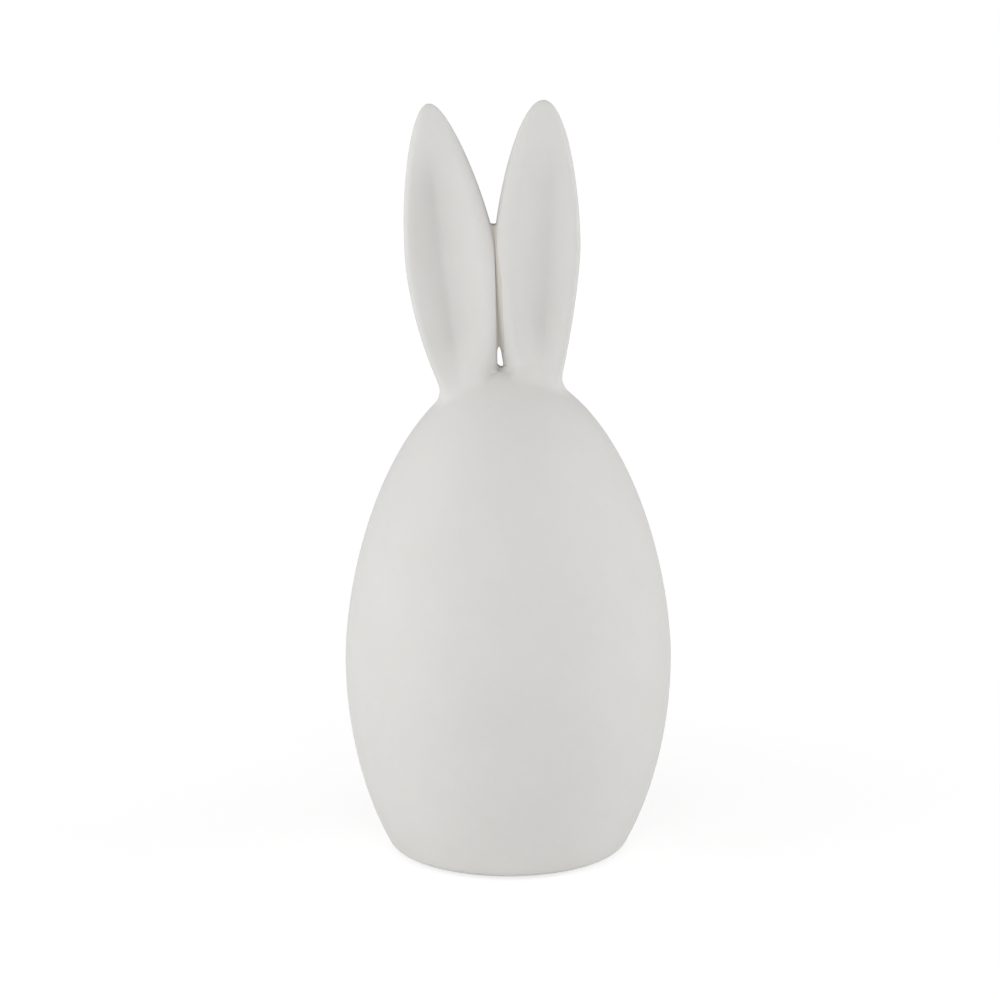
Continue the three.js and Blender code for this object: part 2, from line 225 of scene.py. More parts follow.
# %% Egg sizes and outline
EGG_RADIUS = 48.0
WAIST_HEIGHT = 56.6
CROWN_RISE = 86.1
CROWN_POWER = 1.74
BELLY_DROP = 82.3
BELLY_POWER = 1.97
CROWN_HEIGHT = WAIST_HEIGHT + CROWN_RISE


def egg_radius(height, inset=0.0):
    above = height >= WAIST_HEIGHT
    reach = (CROWN_RISE if above else BELLY_DROP) - inset
    power = CROWN_POWER if above else BELLY_POWER
    share = min(abs(height - WAIST_HEIGHT) / reach, 1)
    return (EGG_RADIUS - inset) * math.sqrt(1 - share**power)


def dome_height(radius):
    share = min(radius / EGG_RADIUS, 1)
    return WAIST_HEIGHT + CROWN_RISE * (1 - share * share) ** (1 / CROWN_POWER)


print("the crown is", CROWN_HEIGHT, "mm above the foot")

# %% [markdown]
# ## The egg body
#
# A slip-cast egg is a thin shell. Liquid clay stands in a plaster mould until a wall has
# formed, and the rest is poured out again through the hole in the foot. So the outline goes
# down the outside, rounds the foot, crosses the flat ring that the potter wipes clean, steps
# up into a shallow recess, passes up through the vent hole and comes back over the inside.
# Drawn once as a chain of edges and spun round the axis, it gives the outside, the foot, the
# hole and the hollow in one go.

# %% Crown and belly
CURVE_STEPS = 120


def crown_curve(inset=0.0):
    points = []
    for i in range(CURVE_STEPS + 1):
        angle = i / CURVE_STEPS * math.pi / 2
        rise = (CROWN_RISE - inset) * math.cos(angle) ** (2 / CROWN_POWER)
        points.append(((EGG_RADIUS - inset) * math.sin(angle), WAIST_HEIGHT + rise))
    points[0] = (0.0, points[0][1])
    points[-1] = (points[-1][0], WAIST_HEIGHT)
    return points


def belly_curve(inset, lowest):
    steps = CURVE_STEPS // 2
    heights = [mix(WAIST_HEIGHT, lowest, i / steps) for i in range(1, steps + 1)]
    return [(egg_radius(height, inset), height) for height in heights]


print("the crown's curve has", len(crown_curve()), "points")

# %% Rounded edge of the foot
FOOT_EDGE = 3.35
EDGE_STEPS = 12
EDGE_PASSES = 6
SLOPE_PROBE = 0.05


def foot_edge():
    """Where the side ends, where the flat ring starts, and the arc between them."""
    height = FOOT_EDGE / 2
    for _ in range(EDGE_PASSES):
        run = egg_radius(height + SLOPE_PROBE) - egg_radius(height)
        slope = math.atan(run / SLOPE_PROBE)
        height = FOOT_EDGE * (1 - math.sin(slope))
    centre = egg_radius(height) - FOOT_EDGE * math.cos(slope)
    arc = []
    for i in range(1, EDGE_STEPS + 1):
        angle = mix(slope, math.pi / 2, i / EDGE_STEPS)
        arc.append((centre + FOOT_EDGE * math.cos(angle), FOOT_EDGE * (1 - math.sin(angle))))
    return height, centre, arc


edge_height, ring_radius, edge_arc = foot_edge()
print("the flat ring is", round(2 * ring_radius, 1), "mm across")

# %% Underside, vent hole and hollow
RING_WIDTH = 5.0
RING_BEVEL = 0.6
RING_EASE = 0.15
RECESS = 1.1
BASE_THICKNESS = 5.0
INNER_FLOOR = RECESS + BASE_THICKNESS
FLOOR_CHAMFER = 3.0
VENT_RADIUS = 4.5
VENT_EASE = 0.5
EASE_SAG = 0.3
WALL = 4.0


def underside():
    """From the flat ring up over the recess and through the vent hole to the inner floor."""
    inner = ring_radius - RING_WIDTH
    return [
        (inner + RING_EASE, 0.0),
        (inner - RING_EASE * 2 / 3, RING_EASE),
        (inner - RING_BEVEL, RECESS - RING_EASE),
        (inner - RING_BEVEL - RING_EASE * 2, RECESS),
        (VENT_RADIUS + VENT_EASE, RECESS),
        (VENT_RADIUS + VENT_EASE * EASE_SAG, RECESS + VENT_EASE * EASE_SAG),
        (VENT_RADIUS, RECESS + VENT_EASE),
        (VENT_RADIUS, INNER_FLOOR - VENT_EASE),
        (VENT_RADIUS + VENT_EASE * EASE_SAG, INNER_FLOOR - VENT_EASE * EASE_SAG),
        (VENT_RADIUS + VENT_EASE, INNER_FLOOR),
        (egg_radius(INNER_FLOOR, WALL) - FLOOR_CHAMFER, INNER_FLOOR),
    ]


outside = crown_curve() + belly_curve(0, edge_height) + edge_arc
inside = crown_curve(WALL) + belly_curve(WALL, INNER_FLOOR + FLOOR_CHAMFER)
outline = outside + underside() + inside[::-1]
print("the whole outline has", len(outline), "points")

# %% Spin the outline
EGG_TURNS = 288
MERGE_DISTANCE = 0.001
PADS_STAND_OUT = 0.8
FOOT_LEVEL = cad_low.z / MM + PADS_STAND_OUT


def spin_outline(points):
    bm = bmesh.new()
    chain = [bm.verts.new((radius, 0, height)) for radius, height in points]
    edges = [bm.edges.new(pair) for pair in zip(chain, chain[1:])]
    bmesh.ops.spin(
        bm,
        geom=chain + edges,
        cent=(0, 0, 0),
        axis=(0, 0, 1),
        angle=2 * math.pi,
        steps=EGG_TURNS,
        use_merge=True,
    )
    bmesh.ops.remove_doubles(bm, verts=bm.verts, dist=MERGE_DISTANCE)
    bmesh.ops.recalc_face_normals(bm, faces=bm.faces)
    bmesh.ops.translate(bm, verts=bm.verts, vec=(0, 0, FOOT_LEVEL))
    return bm


finish_piece("egg_shell", spin_outline(outline), "egg_body", bisque)

# %% [markdown]
# ## The ears
#
# Each ear is a leaf of clay with a hollow front, luted onto the crown with slip. The two
# aren't a matching pair: the left one is wider, leans out and has its hollow near the middle,
# while the right one stands more upright and keeps a broad flat rim beside the seam.
#
# A few plain rules describe a leaf well: a middle line that leans and bows, a half width
# that grows from the foot and closes in a round tip, and a depth that thins towards the tip.
# Heights are given up from the crown and sideways places from the egg's axis. A place across
# an ear runs from -1 beside the other ear to 1 at its outer edge.
#
# The tip power says how late the width starts to fall above the widest level, and the
# slimming takes off a further share towards the tip. The taper is the share of the width
# that is lost at the foot, and the bow pushes the middle line sideways.

# %% Left ear sizes
LEFT_EAR = dict(
    side=-1,
    tip_rise=76.4,
    widest_rise=28.9,
    half_width=13.72,
    tip_power=2.52,
    tip_slimming=0.355,
    slimming_power=1.28,
    foot_taper=0.345,
    foot_taper_power=2.1,
    foot_x=-11.87,
    tip_x=-22.67,
    bow=0.41,
    hollow_depth=7.1,
    hollow_centre=0.2,
    hollow_inner=0.93,
    hollow_outer=0.71,
    inner_power=1.4,
    inner_foot_fullness=1.5,
    outer_power=1.25,
)
print("the left ear is", 2 * LEFT_EAR["half_width"], "mm wide before the seam flattens it")

# %% Right ear sizes
RIGHT_EAR = dict(
    side=1,
    tip_rise=77.45,
    widest_rise=34.6,
    half_width=12.54,
    tip_power=1.56,
    tip_slimming=0.02,
    slimming_power=1.3,
    foot_taper=0.355,
    foot_taper_power=1.64,
    foot_x=7.33,
    tip_x=10.03,
    bow=-0.32,
    hollow_depth=6.0,
    hollow_centre=0.3,
    hollow_inner=0.82,
    hollow_outer=0.64,
    inner_power=1.5,
    inner_foot_fullness=1.4,
    outer_power=1.6,
)
print("the right ear is", 2 * RIGHT_EAR["half_width"], "mm wide before the seam flattens it")

# %% Outline of a leaf
FOOT_DROP = 2.7


def leaf_half_width(ear, rise):
    if rise >= ear["widest_rise"]:
        share = (rise - ear["widest_rise"]) / (ear["tip_rise"] - ear["widest_rise"])
        share = min(share, 1)
        slimming = 1 - ear["tip_slimming"] * share ** ear["slimming_power"]
        return ear["half_width"] * math.sqrt(1 - share ** ear["tip_power"]) * slimming
    share = (ear["widest_rise"] - rise) / (ear["widest_rise"] + FOOT_DROP)
    return ear["half_width"] * (1 - ear["foot_taper"] * share ** ear["foot_taper_power"])


def leaf_middle(ear, rise):
    share = (rise + FOOT_DROP) / (ear["tip_rise"] + FOOT_DROP)
    return mix(ear["foot_x"], ear["tip_x"], share) + ear["bow"] * 4 * share * (1 - share)


print("at the foot the left ear is", round(2 * leaf_half_width(LEFT_EAR, 0), 1), "mm wide")

# %% Section of a leaf
FRONT_DEPTH = 6.8
BACK_DEPTH = 6.2
DEPTH_POWER = 2.4
INNER_FULLNESS = 4.5
INNER_FULL_RISE = 40
OUTER_FULLNESS = 3.0
BACK_FULLNESS = 2.2


def leaf_thinning(ear, rise):
    share = min(max(rise / ear["tip_rise"], 0), 1)
    return math.sqrt(1 - share**DEPTH_POWER)


def arch(across, fullness):
    """Height of a squarish arch of height 1 at a place from -1 to 1 across it."""
    return max(1 - abs(across) ** fullness, 0) ** (1 / fullness)


def inner_fullness(ear, rise):
    """The front rim beside the other ear is nearly square high up and rounder at the foot."""
    return mix(ear["inner_foot_fullness"], INNER_FULLNESS, smooth_rise(rise, 0, INNER_FULL_RISE))


print("an ear is", FRONT_DEPTH + BACK_DEPTH, "mm thick before its front is hollowed")

# %% [markdown]
# ## The hollow in an ear
#
# The front of each ear is a shallow bowl. Its two sides have their own reach and their own
# steepness, it fades out under the tip and over the foot, and its lip is soft, because a
# sharp rim of fired clay would chip. A soft limit makes that lip: it takes the smaller of two
# values, and rounds off the corner where one takes over from the other.

# %% Hollow of a leaf
LIP_SOFTNESS = 0.22
HOLLOW_UNDER_TIP = (7, 30)
HOLLOW_OVER_FOOT = (-3, 16)


def soft_limit(value, limit, softness):
    share = min(max(0.5 + 0.5 * (limit - value) / softness, 0), 1)
    return mix(limit, value, share) - softness * share * (1 - share)


def hollow_depth(ear, rise, across, above_egg):
    outward = across > ear["hollow_centre"]
    reach = ear["hollow_outer"] if outward else ear["hollow_inner"]
    power = ear["outer_power"] if outward else ear["inner_power"]
    share = abs(across - ear["hollow_centre"]) / reach
    bowl = -soft_limit(share**power - 1, 0, LIP_SOFTNESS)
    under_tip = smooth_rise(ear["tip_rise"] - rise, *HOLLOW_UNDER_TIP)
    over_foot = smooth_rise(above_egg, *HOLLOW_OVER_FOOT)
    return ear["hollow_depth"] * bowl * under_tip * over_foot


widest = LEFT_EAR["widest_rise"]
lip = LEFT_EAR["hollow_centre"] + LEFT_EAR["hollow_outer"]
depth_at_lip = hollow_depth(LEFT_EAR, widest, lip, widest)
print("at its outer lip the left hollow is still", round(depth_at_lip, 2), "mm deep")

# %% A point on a leaf
LEAN = math.tan(math.radians(3))
SPREAD_POWER = 0.8


def leaf_point(ear, rise, angle, above_egg):
    """A point of the ear at a height, going round its section: 0 is right, 90 degrees behind."""
    right = math.copysign(abs(math.cos(angle)) ** SPREAD_POWER, math.cos(angle))
    outward = right * ear["side"]
    if math.sin(angle) < 0:
        fullness = OUTER_FULLNESS if outward > 0 else inner_fullness(ear, rise)
        depth = hollow_depth(ear, rise, outward, above_egg)
        depth -= FRONT_DEPTH * arch(right, fullness)
    else:
        depth = BACK_DEPTH * arch(right, BACK_FULLNESS)
    x = leaf_middle(ear, rise) + right * leaf_half_width(ear, rise)
    return Vector((x, (rise + FOOT_DROP) * LEAN + depth * leaf_thinning(ear, rise)))


outer_edge = leaf_point(LEFT_EAR, widest, math.pi, widest)
print("the left ear reaches", round(-outer_edge.x, 1), "mm out at its widest")

# %% [markdown]
# ## The seam between the ears
#
# Both ears stop at one upright plane, where their flanks were pressed together with slip. It
# leans a little to the left as it rises. Round the small hole at the foot the flanks flatten
# against it gently, as if a fingertip had gone round, and higher up they meet it firmly. The
# same soft limit does both, with a softness that changes with the height.

# %% Seam plane
SEAM_X = -3.1
SEAM_TILT = 0.023
SEAM_OVERLAP = 0.02
SEAM_FOOT_SOFTNESS = 1.2
SEAM_SOFTNESS = 0.15
SEAM_SOFT_RISES = (6, 26)


def seam_at(ear, rise):
    """Distance of the seam plane from the axis, towards the other ear."""
    return (SEAM_X - SEAM_TILT * rise) * -ear["side"] + SEAM_OVERLAP


def seam_softness(rise):
    return mix(SEAM_FOOT_SOFTNESS, SEAM_SOFTNESS, smooth_rise(rise, *SEAM_SOFT_RISES))


print("the seam is", -SEAM_X, "mm to the left of the axis at the crown")

# %% [markdown]
# ## Where an ear meets the egg
#
# The joint is wiped with a wet finger, so no step is left: the ear's side runs into the dome
# over a rounding. At each point of the foot, that rounding is an arc that touches both the
# leaning side of the ear and the sloping skin of the egg. It is broad nearly all the way
# round, where a fingertip fits, and tight beside the seam, where none does. There two short
# dark creases run down from the small hole.

# %% Size of the rounding
OUTER_FILLET = 6.0
SEAM_FILLET = 1.6
CREASE_FILLET = 0.6
FRONT_FILLET = 8.0
BACK_FILLET = 5.0
CREASE_END = -0.77
FULL_FILLET_ACROSS = -0.2


def foot_fillet(ear, angle):
    outward = smooth_rise(math.cos(angle) * ear["side"], CREASE_END, FULL_FILLET_ACROSS)
    side = mix(SEAM_FILLET, OUTER_FILLET, outward)
    broad = mix(CREASE_FILLET, FRONT_FILLET if math.sin(angle) < 0 else BACK_FILLET, outward)
    return mix(side, broad, math.sin(angle) ** 2)


print("roundings of", SEAM_FILLET, "mm beside the seam and", FRONT_FILLET, "mm in front")

# %% Height of the foot
SOLVER_PASSES = 8


def foot_rise(ear, angle):
    """Height over the crown at which the ear's side meets the egg, found step by step."""
    rise = 0.0
    for _ in range(SOLVER_PASSES):
        rise = dome_height(leaf_point(ear, rise, angle, 0).length) - CROWN_HEIGHT
    return rise


outer_foot = foot_rise(LEFT_EAR, math.pi)
print("the left ear's outer foot lies", round(-outer_foot, 1), "mm below the crown")

# %% Slopes at the foot
TURN_STEP = 0.02
SLOPE_STEP = 0.5


def leaf_normal(ear, rise, angle, above_egg):
    """The direction straight out of the ear's side, seen from above."""
    before = leaf_point(ear, rise, angle - TURN_STEP, above_egg)
    after = leaf_point(ear, rise, angle + TURN_STEP, above_egg)
    return Vector((after.y - before.y, before.x - after.x)).normalized()


def skin_slope(ear, rise, angle):
    """How steeply the egg falls away from the ear, as an angle."""
    point = leaf_point(ear, rise, angle, 0)
    further = point + leaf_normal(ear, rise, angle, 0) * SLOPE_STEP
    return math.atan((dome_height(point.length) - dome_height(further.length)) / SLOPE_STEP)


def wall_lean(ear, rise, angle):
    """How far the ear's side leans out over its foot, as an angle."""
    step = foot_fillet(ear, angle) / 2
    base = leaf_point(ear, rise, angle, 0)
    above = leaf_point(ear, rise + step, angle, step)
    return math.atan((above - base).dot(leaf_normal(ear, rise, angle, 0)) / step)


outer_slope = skin_slope(LEFT_EAR, outer_foot, math.pi)
print("there the egg falls away at", round(math.degrees(outer_slope)), "degrees")

# %% [markdown]
# ## Pressing a ball into an ear
#
# An ear has the same make-up as a ball: one pole at the tip, one pole at the root, and rings
# between them. So a UV sphere is the starting lump, and each of its vertices is moved to
# where the rules put that ring and that column. The first rings climb the rounding of the
# foot, the others the blade. The lowest one lies inside the egg's wall, as the scored root
# of a real ear does.

# %% Rings of an ear
FILLET_RINGS = 20
BLADE_RINGS = 150
EAR_RINGS = FILLET_RINGS + BLADE_RINGS + 1


def ring_place(ring, slope, lean, fillet, length):
    """Height over the foot, spread from it, and freedom from the egg's skin of one ring."""
    turn = math.pi / 2 - slope + lean
    tangent = fillet * math.tan(turn / 2)
    if ring <= FILLET_RINGS:
        freedom = (max(ring, 1) - 1) / (FILLET_RINGS - 1)
        angle = turn * (1 - freedom) - lean
        height = tangent * math.cos(lean) - fillet * (math.sin(lean) + math.sin(angle))
        spread = tangent * math.sin(lean) + fillet * (math.cos(lean) - math.cos(angle))
        return height, spread, freedom
    share = (ring - FILLET_RINGS) / BLADE_RINGS
    height = mix(tangent * math.cos(lean), length, math.sin(share * math.pi / 2))
    return height, height * math.tan(lean), 1.0


print("an ear has", EAR_RINGS, "rings between its two poles")

# %% One vertex of an ear
ROOT_DEPTH = 2.0
SINK = 0.004


def ear_vertex(ear, ring, angle, foot, slope, lean):
    fillet = foot_fillet(ear, angle)
    length = ear["tip_rise"] - foot
    height, spread, freedom = ring_place(ring, slope, lean, fillet, length)
    rise = foot + height
    normal = leaf_normal(ear, rise, angle, height)
    widening = spread - height * math.tan(lean)
    point = leaf_point(ear, rise, angle, height) + normal * widening
    inward = soft_limit(-point.x * ear["side"], seam_at(ear, rise), seam_softness(rise))
    point.x = -inward * ear["side"]
    on_skin = dome_height(point.length) - CROWN_HEIGHT + height + spread * math.tan(slope)
    level = mix(on_skin, rise, smooth_rise(freedom, 0, 1))
    sunk = ROOT_DEPTH if ring == 0 else SINK * (1 - freedom)
    return Vector((point.x, point.y, CROWN_HEIGHT + level - sunk))


print("the root of an ear goes", ROOT_DEPTH, "mm into the egg's wall of", WALL, "mm")

# %% Press the two ears
EAR_COLUMNS = 144


def press_ear(ear):
    bm = bmesh.new()
    bmesh.ops.create_uvsphere(bm, u_segments=EAR_COLUMNS, v_segments=EAR_RINGS + 1, radius=1)
    feet = []
    for column in range(EAR_COLUMNS):
        angle = column / EAR_COLUMNS * 2 * math.pi
        foot = foot_rise(ear, angle)
        slope = skin_slope(ear, foot, angle)
        feet.append((angle, foot, slope, wall_lean(ear, foot, angle)))
    roots = [ear_vertex(ear, 0, *foot) for foot in feet]
    for vertex in bm.verts:
        level = round(math.acos(max(min(-vertex.co.z, 1), -1)) / math.pi * (EAR_RINGS + 1))
        turn = math.atan2(vertex.co.y, vertex.co.x) / (2 * math.pi)
        column = round(turn * EAR_COLUMNS) % EAR_COLUMNS
        if level == 0:
            vertex.co = sum(roots, Vector()) / EAR_COLUMNS
        else:
            vertex.co = ear_vertex(ear, level - 1, *feet[column])
    bmesh.ops.translate(bm, verts=bm.verts, vec=(0, 0, FOOT_LEVEL))
    return bm


finish_piece("left_ear_leaf", press_ear(LEFT_EAR), "left_ear", bisque)
finish_piece("right_ear_leaf", press_ear(RIGHT_EAR), "right_ear", bisque)

# %% [markdown]
# ## The web between the ears
#
# Behind the rims, the two ears are joined by a thin wall of slip that was wiped into the
# valley between them. Its top edge sags a little, its front stands out half way up and comes
# nearer the viewer on the right, and under it a small teardrop hole is left over the crown.
#
# The valley opens slowly, so the level of the top edge is found by halving: it lies where
# the valley is as wide as the edge is in the photograph.

# %% Flanks of the valley
FLANK_REACH = 0.98


def flank_x(ear, rise, behind):
    """Sideways place of an ear's inner flank, at a height and a distance behind its middle."""
    front = behind < 0
    fullness = inner_fullness(ear, rise) if front else BACK_FULLNESS
    depth = (FRONT_DEPTH if front else BACK_DEPTH) * leaf_thinning(ear, rise)
    share = min(abs(behind) / depth, FLANK_REACH)
    inward = arch(share, fullness) * leaf_half_width(ear, rise) - leaf_middle(ear, rise) * ear["side"]
    return -soft_limit(inward, seam_at(ear, rise), seam_softness(rise)) * ear["side"]


def valley_width(rise):
    return flank_x(RIGHT_EAR, rise, 0) - flank_x(LEFT_EAR, rise, 0)


high_up = 60
print(high_up, "mm over the crown the valley is", round(valley_width(high_up), 1), "mm wide")

# %% Top edge of the web
WEB_TOP_WIDTH = 1.38
HALVINGS = 16


def web_top():
    low = max(LEFT_EAR["widest_rise"], RIGHT_EAR["widest_rise"])
    high = min(LEFT_EAR["tip_rise"], RIGHT_EAR["tip_rise"])
    for _ in range(HALVINGS):
        rise = (low + high) / 2
        low, high = (rise, high) if valley_width(rise) < WEB_TOP_WIDTH else (low, rise)
    return low


WEB_TOP = web_top()
print("the web's top edge lies", round(WEB_TOP, 1), "mm over the crown")

# %% [markdown]
# ## Slip pressed into the valley
#
# The slip takes the shape of the gap that it fills. So a cube is cut into a fine lattice, and
# each of its points is moved to its place between the two flanks. Across the valley the
# lattice reaches a little into both ears, so that no gap is left. Its front and its rear are
# slightly dished, as wet slip pulls up against a wall.

# %% Slip between the flanks
SLIP_BACK = 2.8
SLIP_DISH = 0.5
SLIP_SLANT = 0.8
SLIP_BURY = 0.25


def slip_point(across, through, rise, front):
    """A point of the slip: -1 to 1 across the valley, and -1 to 1 from its front to its back."""
    behind = mix(front, SLIP_BACK, (through + 1) / 2)
    behind += SLIP_DISH * across * across * through
    behind -= SLIP_SLANT * across * (1 - through) / 2
    left = flank_x(LEFT_EAR, rise, behind) - SLIP_BURY
    right = flank_x(RIGHT_EAR, rise, behind) + SLIP_BURY
    x = mix(left, right, (across + 1) / 2)
    return Vector((x, (rise + FOOT_DROP) * LEAN + behind, CROWN_HEIGHT + rise + FOOT_LEVEL))


def shape_slip(place_vertex, cuts):
    bm = bmesh.new()
    bmesh.ops.create_cube(bm, size=2)
    bmesh.ops.subdivide_edges(bm, edges=bm.edges, cuts=cuts, use_grid_fill=True)
    for vertex in bm.verts:
        vertex.co = place_vertex(*vertex.co)
    return bm


print("the slip reaches", SLIP_BACK, "mm behind the middle of the ears")

# %% The web
WEB_BOTTOM = 6.7
WEB_ARCH = 2.6
WEB_SAG = 0.9
WEB_FRONT_LOW = -0.9
WEB_FRONT_HIGH = -2.9
WEB_FRONT_BULGE = 2.5
WEB_CUTS = 23


def web_vertex(across, through, up):
    top = WEB_TOP + WEB_SAG * across * across
    bottom = WEB_BOTTOM - WEB_ARCH * across * across
    front = mix(WEB_FRONT_LOW, WEB_FRONT_HIGH, (up + 1) / 2) - WEB_FRONT_BULGE * (1 - up * up)
    return slip_point(across, through, mix(bottom, top, (up + 1) / 2), front)


# The web wears the slip finish, whose darker, warmer colour is painted shade of the deep valley.
finish_piece("slip_web", shape_slip(web_vertex, WEB_CUTS), "ear_web", slip_painted_shade)

# %% [markdown]
# ## The saddle under the hole
#
# In the crotch between the ears, a low saddle of the same slip closes the small hole from
# below. It sags between the two flanks, and its root lies inside the egg's wall. It is made
# of the same lattice, with fewer cuts because it is so small.

# %% The saddle
SADDLE_TOP = 0.5
SADDLE_SAG = 1.6
SADDLE_ROOT = -2.0
SADDLE_FRONT = -1.0
SADDLE_CUTS = 11


def saddle_vertex(across, through, up):
    top = SADDLE_TOP + SADDLE_SAG * across * across
    return slip_point(across, through, mix(SADDLE_ROOT, top, (up + 1) / 2), SADDLE_FRONT)


# The saddle wears the same slip finish, whose darker colour is painted shade of the pocket under the
# hole.
finish_piece(
    "slip_saddle", shape_slip(saddle_vertex, SADDLE_CUTS), "ear_web", slip_painted_shade
)

# %% [markdown]
# ## Felt pads
#
# Four stick-on dots of pressed felt keep the unglazed foot from scratching the shelf. Felt
# has no weave, only tangled fibres, so one fine, twisted noise gives it both its uneven
# colour and its fuzzy skin. Each dot is a short cylinder with a soft bevel round both rims.

# %% Felt
FIBRE_SIZE = 0.5
FIBRE_TWIST = 1.5
FIBRE_BUMP = 0.8
FIBRE_HEIGHT = 0.12
FELT_SHEEN = 0.3


def felt_finish():
    material = bpy.data.materials.new("pressed_felt")
    material.use_nodes = True
    tree = material.node_tree
    shader = tree.nodes["Principled BSDF"]
    place = tree.nodes.new("ShaderNodeTexCoord").outputs["Object"]
    fibres = noise(tree, place, FIBRE_SIZE, detail=8, distortion=FIBRE_TWIST)
    tint_surface(tree, shader, fibres, dark=(0.60, 0.58, 0.53), light=(0.78, 0.76, 0.71))
    raise_grain(tree, shader, fibres, FIBRE_BUMP, FIBRE_HEIGHT)
    shader.inputs["Roughness"].default_value = 1.0
    shader.inputs["Sheen Weight"].default_value = FELT_SHEEN
    return material


felt = felt_finish()
print("felt finish:", felt.name)

# %% Felt dots
DOT_COUNT = 4
DOT_SEGMENTS = 64
DOT_BEVEL = 0.3
BEVEL_STEPS = 4
RIM_TURN = math.radians(60)


def felt_dot(low, high):
    """A dot that fills the box of a CAD pad."""
    radius = (high.x - low.x) / 2 / MM
    height = (high.z - low.z) / MM
    bm = bmesh.new()
    bmesh.ops.create_cone(
        bm, cap_ends=True, segments=DOT_SEGMENTS, radius1=radius, radius2=radius, depth=height
    )
    rims = [edge for edge in bm.edges if abs(edge.calc_face_angle(0)) > RIM_TURN]
    bmesh.ops.bevel(
        bm,
        geom=rims,
        offset=DOT_BEVEL,
        offset_type="OFFSET",
        segments=BEVEL_STEPS,
        profile=0.5,
        affect="EDGES",
        material=-1,
    )
    bmesh.ops.translate(bm, verts=bm.verts, vec=(low + high) / 2 / MM)
    return bm


for number in range(1, DOT_COUNT + 1):
    node = f"felt_pad_{number}"
    finish_piece(f"felt_dot_{number}", felt_dot(*map(Vector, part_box(node))), node, felt)

# %% [markdown]
# ## Floor
#
# The picture has a pure white ground. A lit floor alone never comes out even, so the floor
# shows the camera its own lit surface and a plain glow added to it. What light is missing
# under the egg still shows as a soft shadow, and the rest is white. The glow grows a little
# with the distance, because the lamps reach the far floor less. All other rays meet a plain
# white floor, which lights the egg from below. To tell the two apart, a Light Path node
# gives 1 for what the camera sees straight, in a mirror or through glass.


# %% Helper: what is seen
def seen_directly(nodes, links):
    path = nodes.new("ShaderNodeLightPath")
    straight = nodes.new("ShaderNodeMath")
    straight.operation = "MAXIMUM"
    links.new(path.outputs["Is Camera Ray"], straight.inputs[0])
    links.new(path.outputs["Is Glossy Ray"], straight.inputs[1])
    either = nodes.new("ShaderNodeMath")
    either.operation = "MAXIMUM"
    links.new(straight.outputs[0], either.inputs[0])
    links.new(path.outputs["Is Transmission Ray"], either.inputs[1])
    return either.outputs[0]


print("rays that count as seen: camera, glossy and transmission")

# %% Glow and matt white of the floor
NEAR_GLOW = 0.73
FAR_GLOW = 0.83
FAR_FLOOR = 1.2


def matt_white(nodes, brightness):
    shader = nodes.new("ShaderNodeBsdfDiffuse")
    shader.inputs["Color"].default_value = (brightness, brightness, brightness, 1)
    return shader.outputs[0]


def floor_glow(nodes, links):
    """An emission that grows with the distance from the egg."""
    place = nodes.new("ShaderNodeTexCoord")
    distance = nodes.new("ShaderNodeVectorMath")
    distance.operation = "LENGTH"
    links.new(place.outputs["Object"], distance.inputs[0])
    strength = nodes.new("ShaderNodeMapRange")
    strength.inputs["From Max"].default_value = FAR_FLOOR
    strength.inputs["To Min"].default_value = NEAR_GLOW
    strength.inputs["To Max"].default_value = FAR_GLOW
    links.new(distance.outputs["Value"], strength.inputs["Value"])
    glow = nodes.new("ShaderNodeEmission")
    links.new(strength.outputs["Result"], glow.inputs["Strength"])
    return glow.outputs[0]


print("the glow grows from", NEAR_GLOW, "to", FAR_GLOW, "over", FAR_FLOOR, "m")

# %% Floor finish
SEEN_WHITE = 0.38
BOUNCE_WHITE = 0.9


def floor_finish():
    material = bpy.data.materials.new("floor_white")
    material.use_nodes = True
    nodes = material.node_tree.nodes
    links = material.node_tree.links
    nodes.clear()
    shown = nodes.new("ShaderNodeAddShader")
    links.new(matt_white(nodes, SEEN_WHITE), shown.inputs[0])
    links.new(floor_glow(nodes, links), shown.inputs[1])
    choice = nodes.new("ShaderNodeMixShader")
    links.new(seen_directly(nodes, links), choice.inputs["Fac"])
    links.new(matt_white(nodes, BOUNCE_WHITE), choice.inputs[1])
    links.new(shown.outputs[0], choice.inputs[2])
    out = nodes.new("ShaderNodeOutputMaterial")
    links.new(choice.outputs[0], out.inputs["Surface"])
    return material


floor_white = floor_finish()
print("floor finish:", floor_white.name)

# %% Lay the floor
FLOOR_SIZE = 6.0


def lay_floor():
    bm = bmesh.new()
    bmesh.ops.create_grid(bm, x_segments=1, y_segments=1, size=FLOOR_SIZE / 2)
    bmesh.ops.translate(bm, verts=bm.verts, vec=(0, 0, cad_low.z))
    mesh = bpy.data.meshes.new("floor")
    bm.to_mesh(mesh)
    bm.free()
    mesh.materials.append(floor_white)
    floor = bpy.data.objects.new("floor", mesh)
    bpy.context.scene.collection.objects.link(floor)


lay_floor()
print("the floor lies at", round(cad_low.z / MM, 2), "mm")

# %% [markdown]
# ## World
#
# The world is plain white where it is seen. For light it is a dim room with one broad
# brightness in front, which grows evenly from the side towards the viewer, as from a big
# white wall behind the camera.

# %% Room light
ROOM_LIGHT = 0.247
FRONT_LIGHT = 1.124
SEEN_WORLD = 1.0


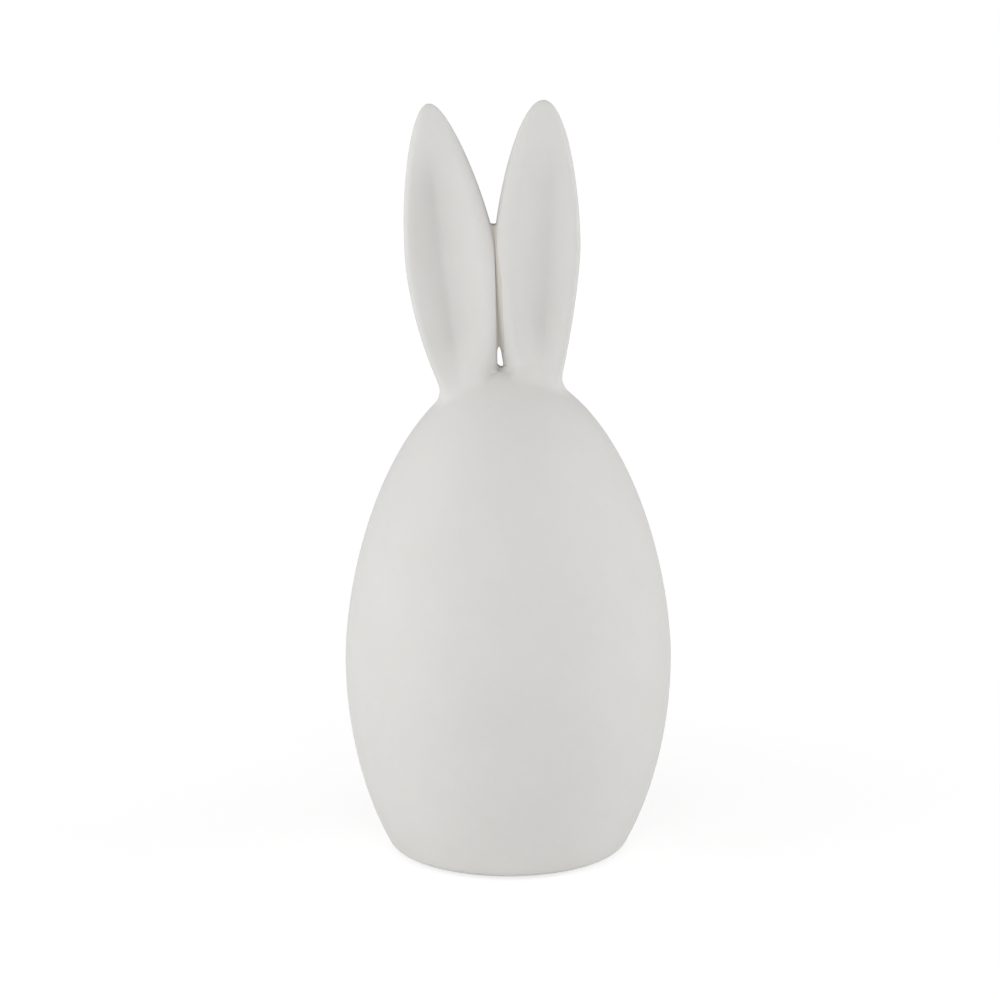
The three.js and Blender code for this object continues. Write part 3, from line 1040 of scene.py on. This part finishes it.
def make_world():
    world = bpy.data.worlds.new("studio")
    world.use_nodes = True
    bpy.context.scene.world = world
    nodes = world.node_tree.nodes
    links = world.node_tree.links
    background = nodes["Background"]
    background.inputs["Color"].default_value = (1, 1, 1, 1)
    place = nodes.new("ShaderNodeTexCoord")
    split = nodes.new("ShaderNodeSeparateXYZ")
    links.new(place.outputs["Generated"], split.inputs[0])
    lobe = nodes.new("ShaderNodeMapRange")
    lobe.inputs["From Min"].default_value = 0
    lobe.inputs["From Max"].default_value = -1
    lobe.inputs["To Min"].default_value = ROOM_LIGHT
    lobe.inputs["To Max"].default_value = ROOM_LIGHT + FRONT_LIGHT
    links.new(split.outputs["Y"], lobe.inputs["Value"])
    choice = nodes.new("ShaderNodeMix")
    choice.data_type = "FLOAT"
    choice.inputs["B"].default_value = SEEN_WORLD
    links.new(seen_directly(nodes, links), choice.inputs["Factor"])
    links.new(lobe.outputs["Result"], choice.inputs["A"])
    links.new(choice.outputs["Result"], background.inputs["Strength"])


make_world()
print("the room gives", ROOM_LIGHT, "and up to", ROOM_LIGHT + FRONT_LIGHT, "straight in front")

# %% [markdown]
# ## Lamps
#
# The two sides of the egg are a little brighter than its front, and the left side most. So
# three soft lamps stand beside it: two on the left, one of them a little in front and one a
# little behind, and one on the right. The broad light of the world fills the front.

# %% Lamps
LAMP_SIZE = 0.8
LAMP_DISTANCE = 1.1
LAMP_LIFT = math.radians(10)
AIM = Vector((0, 0, 0.12))


def soft_lamp(name, turn_degrees, power):
    """A square lamp that stands off to a side: -90 is the viewer's left, 90 the right."""
    turn = math.radians(turn_degrees)
    level = Vector((math.sin(turn), -math.cos(turn), 0)) * math.cos(LAMP_LIFT)
    away = level + Vector((0, 0, math.sin(LAMP_LIFT)))
    lamp = bpy.data.lights.new(name, "AREA")
    lamp.size = LAMP_SIZE
    lamp.energy = power
    rig = bpy.data.objects.new(name, lamp)
    rig.location = AIM + away * LAMP_DISTANCE
    rig.rotation_euler = away.to_track_quat("Z", "Y").to_euler()
    bpy.context.scene.collection.objects.link(rig)
    print(name, power, "W")


soft_lamp("left_front_softbox", turn_degrees=-70, power=4.1)
soft_lamp("left_rear_softbox", turn_degrees=-110, power=2.6)
soft_lamp("right_softbox", turn_degrees=90, power=5.6)

# %% [markdown]
# ## Camera
#
# The lens is long and the camera stands a little above the object, at about twelve degrees.
# Both came from the egg's outline: the roundness of the foot's front edge gives the angle.
# The small shift puts the figurine as far off the middle as in the photograph.

# %% Camera
CAMERA_DISTANCE = 0.9046
CAMERA_ELEVATION = math.radians(12.22)
LOOK_HEIGHT = 0.1117
FRAME_WIDTH_AT_OBJECT = 0.2918
SENSOR = 36.0
SHIFT_X = -0.00825
SHIFT_Y = -0.0233
NEAREST_SEEN = 0.05

camera_data = bpy.data.cameras.new("camera")
camera_data.sensor_width = SENSOR
camera_data.lens = SENSOR * CAMERA_DISTANCE / FRAME_WIDTH_AT_OBJECT
camera_data.shift_x = SHIFT_X
camera_data.shift_y = SHIFT_Y
camera_data.clip_start = NEAREST_SEEN
camera = bpy.data.objects.new("camera", camera_data)
away = Vector((0, -math.cos(CAMERA_ELEVATION), math.sin(CAMERA_ELEVATION)))
camera.location = Vector((0, 0, LOOK_HEIGHT)) + away * CAMERA_DISTANCE
camera.rotation_euler = (-away).to_track_quat("-Z", "Y").to_euler()
bpy.context.scene.collection.objects.link(camera)
bpy.context.scene.camera = camera
bpy.context.scene.view_settings.view_transform = "Standard"
print("lens", round(camera_data.lens, 1), "mm")
